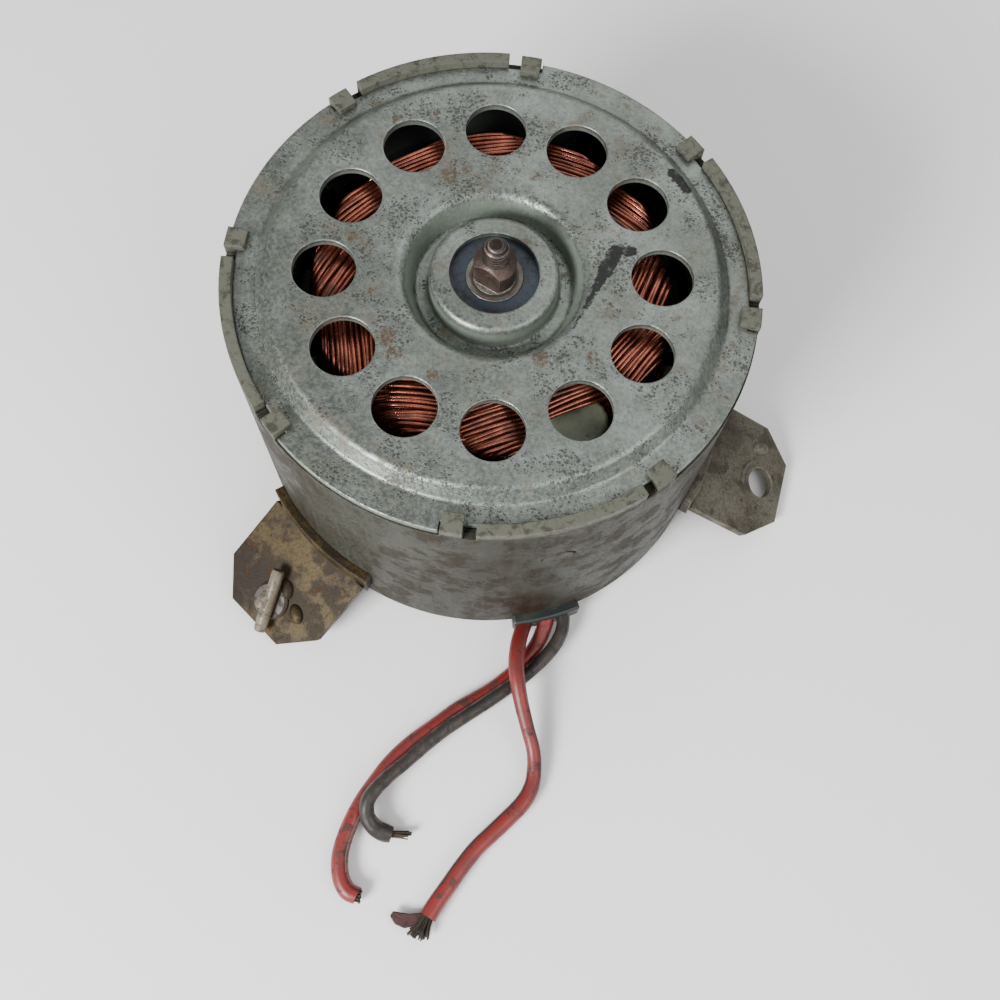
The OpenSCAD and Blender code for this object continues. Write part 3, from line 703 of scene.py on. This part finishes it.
def curved(points, steps=6):
    # smooth line through the given points
    points = [Vector(point) for point in points]
    line = []
    for i in range(len(points) - 1):
        a, b = points[max(i - 1, 0)], points[i]
        c, d = points[i + 1], points[min(i + 2, len(points) - 1)]
        for k in range(steps):
            t = k / steps
            line.append(0.5 * ((2 * b) + (c - a) * t + (2 * a - 5 * b + 4 * c - d) * t * t
                               + (3 * b - a - 3 * c + d) * t * t * t))
    line.append(points[-1])
    return line


def soften(piece, width, segments):
    rounding = piece.modifiers.new("roundedEdges", "BEVEL")
    rounding.width = width
    rounding.segments = segments
    rounding.limit_method = "ANGLE"
    rounding.angle_limit = math.radians(35)
    rounding.harden_normals = False


# ---- leads, first of all pieces

# routes in millimetres, and how much thicker the lead is at each point
leadRedA = {
    "route": [(22, -46.4, 4.2), (21.7, -49.5, 5.6), (21.8, -53, 6.9), (22.5, -57, 7.6), (24, -61, 7.5),
              (26, -65, 6.4), (28.5, -69.2, 4.7), (31, -73.3, 3), (32.3, -77.5, 2), (32.5, -81, 1.7),
              (31.5, -84.5, 1.7), (29.5, -88, 1.7), (27, -92, 1.7), (24.5, -96, 1.7), (22.5, -100.5, 1.7),
              (21, -104.5, 1.7), (19.5, -108.5, 1.7), (18.6, -111.5, 1.7)],
    "swell": [1.0, 1.02, 1.04, 1.03, 1.0, 0.95, 0.90, 0.90, 0.96, 1.04, 1.08, 1.08, 1.07, 1.06, 1.06,
              1.07, 1.10, 1.14],
    "diameter": 0.0034}
leadRedB = {
    "route": [(26.3, -44, 4.2), (26.3, -47, 3.6), (25.5, -51, 2.7), (24, -54.5, 2), (21.5, -59, 1.7),
              (17.5, -64, 1.7), (13, -68.5, 1.7), (9, -73.5, 1.7), (5, -78.5, 1.7), (2, -83.5, 1.7),
              (0, -88.5, 1.7), (-1.5, -93, 1.7), (-2.5, -98.5, 1.7), (-2.6, -104, 1.7),
              (-1.3, -108.2, 1.7), (1, -110.8, 1.7), (3.4, -111.3, 1.7)],
    "swell": [1.0] * 3 + [0.98, 0.97, 0.98] + [1.0] * 6 + [1.02, 1.04, 1.06, 1.10, 1.04],
    "diameter": 0.0034}
leadDark = {
    "route": [(29.8, -43, 4.2), (30.3, -46, 4), (29.7, -49.5, 3.8), (28.2, -53, 3.9), (26.2, -56.3, 4.1),
              (24, -59.5, 4.2), (21.5, -62.5, 4.3), (19, -65.5, 4.4), (15, -70, 4.4), (11.5, -74, 4.3),
              (8.5, -78, 4.1), (5.5, -82.5, 4), (2.6, -86.8, 4.5), (0.7, -90.3, 4.9), (0, -93, 4.6),
              (0.8, -95.6, 3.8), (2.8, -97.3, 2.6), (5, -97.8, 1.8), (6.6, -97.8, 1.6)],
    "swell": [1.0] * 13 + [1.02, 1.05, 1.10, 1.22, 1.30, 1.10],
    "diameter": 0.003}


def makeLead(name, facts, materialName, node):
    curve = bpy.data.curves.new(name, "CURVE")
    curve.dimensions = "3D"
    curve.bevel_depth = facts["diameter"] / 2
    curve.bevel_resolution = 5
    curve.resolution_u = 8
    curve.use_fill_caps = True
    route = metres(facts["route"])
    spline = curve.splines.new("BEZIER")
    spline.bezier_points.add(len(route) - 1)
    for i, knot in enumerate(spline.bezier_points):
        before, after = route[max(i - 1, 0)], route[min(i + 1, len(route) - 1)]
        lean = (after - before) / 6
        knot.handle_left_type = knot.handle_right_type = "FREE"
        knot.co = route[i]
        knot.handle_left, knot.handle_right = route[i] - lean, route[i] + lean
        knot.radius = facts["swell"][i]
    curve.materials.append(materials[materialName])
    lead = link(bpy.data.objects.new(name, curve))
    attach(lead, "housing")
    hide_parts(node)
    return lead


strandTufts = {
    "tuftRedA": {"start": (18.6, -111.2, 1.7), "heading": (-0.20, -0.96, -0.10), "length": 5.4, "count": 46,
                 "spread": 1.25, "fan": 0.62, "wire": 0.18, "node": "strands_red_a", "seed": 4},
    "tuftRedB": {"start": (3.2, -111.3, 1.7), "heading": (0.97, 0.15, 0.0), "length": 1.1, "count": 30,
                 "spread": 1.25, "fan": 0.25, "wire": 0.19, "node": "strands_red_b", "seed": 7},
    "tuftDark": {"start": (6.4, -97.8, 1.6), "heading": (0.98, 0.20, -0.06), "length": 4.6, "count": 20,
                 "spread": 0.75, "fan": -0.16, "wire": 0.15, "node": "strands_dark", "seed": 9},
}


goldenAngle = 2.39996


def makeTuft(name, facts):
    # cut copper strands: thin wires that fan out or draw to a point
    dice = random.Random(facts["seed"])
    bm = bmesh.new()
    heading = Vector(facts["heading"]).normalized()
    across = heading.cross(Vector((0, 0, 1))).normalized()
    upward = across.cross(heading)
    start = Vector(facts["start"])
    for k in range(facts["count"]):
        ring = facts["spread"] * math.sqrt((k + 0.5) / facts["count"])
        angle = k * goldenAngle
        offset = across * (ring * math.cos(angle)) + upward * (ring * math.sin(angle))
        reach = facts["length"] * dice.uniform(0.62, 1.0)
        drift = offset * facts["fan"] + across * dice.uniform(-0.12, 0.12) * facts["length"] * 0.5
        points = [start + offset * 0.92 - heading * 0.8,
                  start + offset + heading * reach * 0.35 + drift * 0.25,
                  start + offset + heading * reach * 0.7 + drift * 0.7,
                  start + offset + heading * reach + drift * 1.4 + Vector((0, 0, dice.uniform(-0.25, 0.15)))]
        for point in points:
            point.z = max(point.z, 0.25)
        line = metres(curved(points, 2))
        sweepTube(bm, line, [facts["wire"] / 1000] * len(line), 5)
    return finishMesh(bm, name, ["cutStrands"], "housing", [facts["node"]])


# slit insulation that peels off the end of the first red lead
peel = {"outline": [(19.6, -109.6), (17.2, -111.0), (14.6, -111.9), (11.4, -112.2), (11.0, -113.3),
                    (12.4, -114.6), (14.6, -114.9), (16.0, -114.2), (18.0, -114.6)],
        "root": 18, "height": 1.5, "rise": 0.05, "thickness": 0.55, "round": 0.00022}


def makePeel():
    bm = bmesh.new()
    flap = [(x, y, peel["height"] + peel["rise"] * (peel["root"] - x)) for x, y in peel["outline"]]
    bm.faces.new([bm.verts.new(corner) for corner in metres(flap)])
    bmesh.ops.triangulate(bm, faces=bm.faces)
    bmesh.ops.recalc_face_normals(bm, faces=bm.faces)
    bmesh.ops.solidify(bm, geom=bm.faces[:] + bm.edges[:] + bm.verts[:], thickness=peel["thickness"] / 1000)
    piece = finishMesh(bm, "redPeel", ["leadSoiled"], "housing", [], 60)
    soften(piece, peel["round"], 2)
    return piece


leadSlits = {
    # cut edges along the leads, and one dark strip of painted shade: stations, side, raise, half width
    "slitRedA": {"lead": leadRedA, "from": 8, "to": 17, "side": 1, "raise": 0.62, "wire": 0.26,
                 "look": "slitGrimeAndShade"},
    # not a cut: a dark strip along the upper lead's side as painted shade
    "shadeStripRedAUpper": {"lead": leadRedA, "from": 5, "to": 9, "side": -1, "raise": 0.62, "wire": 0.22,
                      "look": "slitGrimeAndShade"},
    "slitRedB": {"lead": leadRedB, "from": 9, "to": 14, "side": -1, "raise": 0.66, "wire": 0.30,
                 "look": "slitGrey"},
}


def makeSlit(name, facts):
    route, swell = facts["lead"]["route"], facts["lead"]["swell"]
    half = facts["lead"]["diameter"] * 500
    level = facts["raise"]
    points = []
    for i in range(facts["from"], facts["to"] + 1):
        ahead = Vector(route[min(i + 1, len(route) - 1)]) - Vector(route[i - 1])
        side = Vector((ahead.y, -ahead.x, 0)).normalized() * facts["side"]
        outward = side * math.sqrt(1 - level * level) + Vector((0, 0, level))
        points.append(Vector(route[i]) + outward * half * swell[i] * 0.97)
    line = metres(curved(points, 4))
    wire, count = facts["wire"] / 1000, len(line)
    radii = [wire * (0.35 + 0.65 * math.sin(math.pi * (k + 0.5) / count)) for k in range(count)]
    bm = bmesh.new()
    sweepTube(bm, line, radii)
    return finishMesh(bm, name, [facts["look"]], "housing")


slits = {name: makeSlit(name, facts) for name, facts in leadSlits.items()}
tufts = {name: makeTuft(name, facts) for name, facts in strandTufts.items()}
redPeel = makePeel()
makeLead("leadRedA", leadRedA, "leadRed", "lead_red_a")
makeLead("leadRedB", leadRedB, "leadRed", "lead_red_b")
makeLead("leadDark", leadDark, "leadDark", "lead_dark")
print("leads made")


# ---- grommet

grommet = {"angle": 300.5, "halfTurn": 8.5, "inner": 0.0488, "outer": 0.0524, "low": 0.0016, "high": 0.0068,
           "round": 0.0006}


def makeGrommet():
    bm = bmesh.new()
    turn = math.radians(grommet["halfTurn"] * 2)
    start = turned(grommet["angle"] - grommet["halfTurn"])
    corners = [(grommet["inner"], grommet["low"]), (grommet["outer"], grommet["low"]),
               (grommet["outer"], grommet["high"]), (grommet["inner"], grommet["high"])]
    face = bm.faces.new([bm.verts.new(start @ Vector((r, 0, z))) for r, z in corners])
    bmesh.ops.spin(bm, geom=[face] + face.edges[:] + face.verts[:], cent=(0, 0, 0), axis=(0, 0, 1),
                   angle=turn, steps=12, use_merge=False)
    bmesh.ops.contextual_create(bm, geom=[e for e in bm.edges if e.is_boundary])
    piece = finishMesh(bm, "cableGrommet", ["rubber"], "housing", ["cable_grommet"])
    soften(piece, grommet["round"], 3)
    return piece


makeGrommet()


# ---- ear plates and nylon clip

# where an ear's plate starts, its slope, and how far down it the hole is
earPlate = {"hub": (52.4, 0, 13.2), "slope": 29, "hole": 15.8}
# head and shank in the hole as a profile; stem and barb as lines with radii
clip = {"angle": 240, "turn": 22, "centre": (-0.6, 0.4, 2.4),
        "head": [(0.0, -3.3), (2.1, -3.3), (3.3, -0.4), (3.35, 0.05), (4.1, 0.1), (4.2, 0.5), (3.7, 1.1),
                 (0.0, 1.25)],
        "stem": [(-7.2, 0, 0.15), (-6.85, 0, 0.15), (-3, 0.05, 0.1), (0, 0, 0.0), (3, -0.05, 0),
                 (6.6, 0, -0.1), (7.05, 0, -0.12), (7.2, 0, -0.12)],
        "stemRadii": (1.15, 1.38, 1.40, 1.45, 1.45, 1.40, 1.15, 0.6),
        "barb": [(-2.2, -0.1, 0.1), (-1.2, -0.35, 0.1), (0.2, -0.75, 0.1), (1.4, -1.05, 0.1),
                 (1.9, -1.0, 0.1)],
        "barbRadii": (1.3, 1.6, 1.95, 2.1, 1.5), "barbFlat": 0.85}


def earPlace(angle):
    # local frame of an ear's plate: x down the slope, y across, z off its top face
    return turned(angle) @ shifted(*earPlate["hub"]) @ turned(earPlate["slope"], "Y")


def makeClip():
    bm = bmesh.new()
    home = earPlace(clip["angle"]) @ shifted(earPlate["hole"], 0, 0)
    revolve(bm, clip["head"], 28, False)
    bmesh.ops.remove_doubles(bm, verts=bm.verts, dist=0.00001)
    bmesh.ops.transform(bm, matrix=home, verts=bm.verts)
    for face in bm.faces:
        face.material_index = 1
    # broken stem that lies across the head, with its barb
    lie = home @ shifted(*clip["centre"]) @ turned(clip["turn"])
    fresh = []
    for line, radii, flatten in (("stem", "stemRadii", 1.0), ("barb", "barbRadii", clip["barbFlat"])):
        fresh += sweepTube(bm, metres(clip[line]), [r / 1000 for r in clip[radii]], 20, flatten)
    bmesh.ops.transform(bm, matrix=lie, verts=list(set(fresh)))
    return finishMesh(bm, "nylonClip", ["nylon", "nylonStained"], "housing", ["ear_clip"])


makeClip()
print("grommet and clip made")


# ---- ear details

earDetails = {
    # lanced tongues: ear angle, down the slope, across, turn
    "tongues": [(0, 13.6, 7.8, 15), (240, 11.4, 1.2, 40), (240, 13.8, 6.3, 60), (120, 13.6, 7.8, 15)],
    "tongueSize": (4.6, 3.1, 2.2), "tongueTilt": -0.12,
    # pressed arcs beside the bolt hole: ear angle, radius, from, to
    "arcs": [(0, 5.4, 130, 205), (120, 5.4, 130, 205)], "arcSteps": 12, "arcWire": 0.00042, "arcTip": 0.0001,
    # weld beads along the vertical flange of every ear: turns from its middle, place and size
    "welds": (-11, 0.5, 11), "weldPlace": (52.1, 0, 16.2), "weldSize": (0.55, 2.2, 1.5),
}


def makeEarDetails(angle, name, materialName):
    bm = bmesh.new()
    home = earPlace(angle)
    size = Matrix.Diagonal((*(value / 1000 for value in earDetails["tongueSize"]), 1))
    for at, down, across, turn in earDetails["tongues"]:
        if at != angle:
            continue
        spot = (home @ shifted(down, across, 0) @ turned(turn)
                @ Matrix.Rotation(earDetails["tongueTilt"], 4, "Y"))
        bmesh.ops.create_uvsphere(bm, u_segments=20, v_segments=12, radius=0.5, matrix=spot @ size)
    for at, radius, start, end in earDetails["arcs"]:
        if at != angle:
            continue
        line = []
        steps, tip = earDetails["arcSteps"], earDetails["arcTip"]
        for k in range(steps + 1):
            turn = math.radians(start + (end - start) * k / steps)
            away, across = earPlate["hole"] + radius * math.cos(turn), radius * math.sin(turn)
            line.append(home @ Vector((away / 1000, across / 1000, 0.00002)))
        sweepTube(bm, line, [tip] + [earDetails["arcWire"]] * (steps - 1) + [tip], 10)
    size = Matrix.Diagonal((*earDetails["weldSize"], 1))
    for turn in earDetails["welds"]:
        spot = turned(angle + turn) @ shifted(*earDetails["weldPlace"]) @ size
        bmesh.ops.create_uvsphere(bm, u_segments=16, v_segments=10, radius=0.001, matrix=spot)
    return finishMesh(bm, name, [materialName], "housing")


for angle, name, materialName in ((0, "rightEarMarks", "earPlain"), (240, "leftEarMarks", "earYellow"),
                                  (120, "backEarMarks", "earPlain")):
    makeEarDetails(angle, name, materialName)
print("ear details made")


# ---- winding

coils = {"pitch": 0.90, "wire": 0.45, "layers": 3, "inner": 20.6, "edge": 35.0, "top": 64.7, "step": 0.82,
         "fall": 0.0028, "dive": 8.5, "floor": 55.0, "points": 15, "seed": 12,
         # where each crossing is highest, the middle of its chord, its outermost turn, its reach each way
         "crossings": [(15, 353, 31.4, -27, 27), (45, 66, 32.6, -27, 27), (75, 85, 33.2, -27, 27),
                       (105, 113, 33.6, -27, 27), (135, 132, 33.2, -27, 27), (165, 147, 32.8, -27, 27),
                       (195, 165, 32.6, -27, 27), (225, 201, 33.0, -27, 27), (255, 282, 33.4, -27, 27),
                       (285, 306, 33.4, -27, 16), (315, 309, 28.6, -30, 30), (345, 335, 33.0, -14, 27)]}


def coilLine(peak, middle, distance, layer, dice, back, ahead):
    # a straight chord from slot to slot that dives down at both ends
    reach = math.degrees(math.acos(distance / coils["edge"]))
    centre = (middle - peak + 180) % 360 - 180
    first, last = max(centre - reach, back), min(centre + reach, ahead)
    turn = dice.uniform(-1.4, 1.4)
    sag, sway = dice.uniform(-0.16, 0.16), dice.uniform(-0.14, 0.14)
    line = []
    for k in range(coils["points"]):
        share = -1 + 2 * k / (coils["points"] - 1)
        off = first + (last - first) * (share + 1) / 2
        angle = peak + off
        radius = (distance + sway * math.sin(3 * share + turn)) / math.cos(math.radians(off - centre))
        height = coils["top"] - coils["fall"] * off * off - layer * coils["step"] + sag
        height -= coils["dive"] * abs(share) ** 7
        angle = math.radians(angle + turn)
        height = max(height, coils["floor"])
        line.append((radius * math.cos(angle) / 1000, radius * math.sin(angle) / 1000, height / 1000))
    return line


def makeCoils(name):
    # every turn is one thin tube, all in one curve
    dice = random.Random(coils["seed"])
    curve = bpy.data.curves.new(name, "CURVE")
    curve.dimensions = "3D"
    curve.bevel_depth = coils["wire"] / 1000
    curve.bevel_resolution = 1
    for peak, middle, outermost, back, ahead in coils["crossings"]:
        for layer in range(coils["layers"]):
            distance = coils["inner"] + coils["pitch"] * 0.5 * (layer % 2)
            while distance < outermost:
                line = coilLine(peak, middle, distance, layer, dice, back, ahead)
                spline = curve.splines.new("POLY")
                spline.points.add(len(line) - 1)
                for knot, place3d in zip(spline.points, line):
                    knot.co = (*place3d, 1.0)
                spline.use_smooth = True
                distance += coils["pitch"] * dice.uniform(0.92, 1.10)
    curve.materials.append(materials["coilCopper"])
    piece = link(bpy.data.objects.new(name, curve))
    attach(piece, "rotor")
    return piece


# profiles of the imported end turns, and the outline of a coil side in its slot
coilCore = {"front": [(15.6, 53.9), (34.2, 53.9), (34.6, 56.0), (33.2, 59.0), (29.5, 60.6), (22.0, 61.4),
                      (18.5, 60.2), (15.6, 57.0)],
            "rear": [(15.6, 32.1), (34.2, 32.1), (34.6, 30.4), (33.0, 27.6), (29.0, 26.6), (22.0, 26.0),
                     (15.6, 26.4)],
            "side": [(17.4, -1.6), (34.8, -5.0), (34.8, 5.0), (17.4, 1.6)], "sideLow": 31.5,
            "sideHeight": 0.023, "slots": 12}


def makeCoilCore():
    # packed copper under the visible turns, and the sides that lie in the slots
    bm = bmesh.new()
    for end in ("front", "rear"):
        revolve(bm, coilCore[end], 72, True)
    for k in range(coilCore["slots"]):
        turn = turned(360 / coilCore["slots"] * k)
        corners = metres([(x, y, coilCore["sideLow"]) for x, y in coilCore["side"]])
        base = bm.faces.new([bm.verts.new(turn @ corner) for corner in corners])
        grown = bmesh.ops.extrude_face_region(bm, geom=[base])["geom"]
        bmesh.ops.translate(bm, vec=(0, 0, coilCore["sideHeight"]), verts=newVerts(grown))
    return finishMesh(bm, "coilCore", ["coilCopper"], "rotor", ["armature_winding"], 50)


puttyShape = {"angle": 316, "radius": 30.6, "size": 6.0, "taper": 0.94, "low": 57.2, "high": 62.6,
              "round": 0.0011, "seed": 3}


def makePutty():
    dice = random.Random(puttyShape["seed"])
    bm = bmesh.new()
    height = (puttyShape["high"] - puttyShape["low"]) / 1000
    middle = (puttyShape["high"] + puttyShape["low"]) / 2000
    home = turned(puttyShape["angle"]) @ Matrix.Translation((puttyShape["radius"] / 1000, 0, middle))
    bmesh.ops.create_cone(bm, cap_ends=True, segments=36, radius1=puttyShape["size"] / 1000,
                          radius2=puttyShape["size"] * puttyShape["taper"] / 1000, depth=height)
    top = [e for e in bm.edges if all(v.co.z > 0 for v in e.verts)]
    bmesh.ops.bevel(bm, geom=top, offset=puttyShape["round"], offset_type="OFFSET", segments=5, profile=0.5,
                    affect="EDGES", material=-1)
    for vert in bm.verts:
        if vert.co.z > -height * 0.4:
            vert.co.x *= 1 + dice.uniform(-0.025, 0.02)
            vert.co.y *= 1 + dice.uniform(-0.025, 0.02)
    bmesh.ops.smooth_vert(bm, verts=bm.verts, factor=0.4, use_axis_x=True, use_axis_y=True, use_axis_z=False)
    bmesh.ops.transform(bm, matrix=home, verts=bm.verts)
    return finishMesh(bm, "balancePutty", ["putty"], "rotor", ["balance_putty"], 50)


makeCoilCore()
makeCoils("coilTurns")
makePutty()
print("winding made")


# ---- finishes on the carried-over nodes

def four(name):
    return [f"{name}_{number}" for number in range(1, 5)]


nodeFinish = {
    "canZinc": ["motor_can"], "capZinc": ["front_cap"], "earPlain": ["ear_right", "ear_back"],
    "earYellow": ["ear_left"], "ferrite": four("magnet"), "carbon": four("brush"),
    "springSteel": four("magnet_clip") + four("brush_spring") + [
        "wave_washer", "plate_rivets", "front_bearing_retainer", "rear_bearing_retainer"],
    "phenolic": ["brush_plate", "commutator_hub"], "coilCopper": ["choke_a", "choke_b"],
    "holderBrass": four("brush_holder") + ["front_bearing_cage", "rear_bearing_cage"],
    "bearingSteel": ["front_bearing_outer", "front_bearing_inner", "front_bearing_balls",
                     "rear_bearing_outer", "rear_bearing_inner", "rear_bearing_balls", "spacer_sleeves"],
    "sealBlue": ["front_bearing_seals", "rear_bearing_seals"],
    "rustyShaft": ["shaft"], "lamination": ["armature_core"],
    "insulator": ["end_insulator_front", "end_insulator_rear"], "barCopper": ["commutator_bars"],
}


def dressNodes():
    dressed = set()
    for materialName, names in nodeFinish.items():
        for name in names:
            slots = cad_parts[name].material_slots
            for holder in slots:
                holder.material = materials[materialName]
            if not slots:
                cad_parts[name].data.materials.append(materials[materialName])
            dressed.add(name)
    return dressed


print("nodes dressed:", len(dressNodes()))


# ---- floor and light

stageLook = {"floor": (0.90, 0.90, 0.895), "floorSize": 3.0, "floorDrop": 0.0002, "world": 0.50,
             "lampAim": (0, 0, 0.03),
             # lamps: place, size, power
             "lamps": {"keyLamp": ((-0.28, -0.54, 0.42), 0.26, 10.0),
                       "fillLamp": ((0.45, -0.20, 0.50), 0.5, 2.2),
                       "backLamp": ((0.10, 0.50, 0.60), 0.6, 1.6)}}


def makeStage():
    bm = bmesh.new()
    bmesh.ops.create_grid(bm, x_segments=2, y_segments=2, size=stageLook["floorSize"])
    mesh = bpy.data.meshes.new("floor")
    bm.to_mesh(mesh)
    bm.free()
    material, tree, shader = newMaterial("paleFloor")
    feed(tree, shader, {"Roughness": 0.9, "Base Color": opaque(stageLook["floor"])})
    mesh.materials.append(material)
    floor = link(bpy.data.objects.new("floor", mesh))
    floor.location.z = -stageLook["floorDrop"]
    for name, (spot, size, power) in stageLook["lamps"].items():
        lamp = bpy.data.lights.new(name, "AREA")
        lamp.energy, lamp.size = power, size
        holder = link(bpy.data.objects.new(name, lamp))
        holder.location = spot
        away = Vector(stageLook["lampAim"]) - Vector(spot)
        holder.rotation_euler = away.to_track_quat("-Z", "Y").to_euler()
    world = bpy.data.worlds.new("softRoom")
    world.use_nodes = True
    feed(world.node_tree, world.node_tree.nodes["Background"], {0: (1, 1, 1, 1), 1: stageLook["world"]})
    scene.world = world


makeStage()
print("stage ready")

bpy.context.view_layer.update()
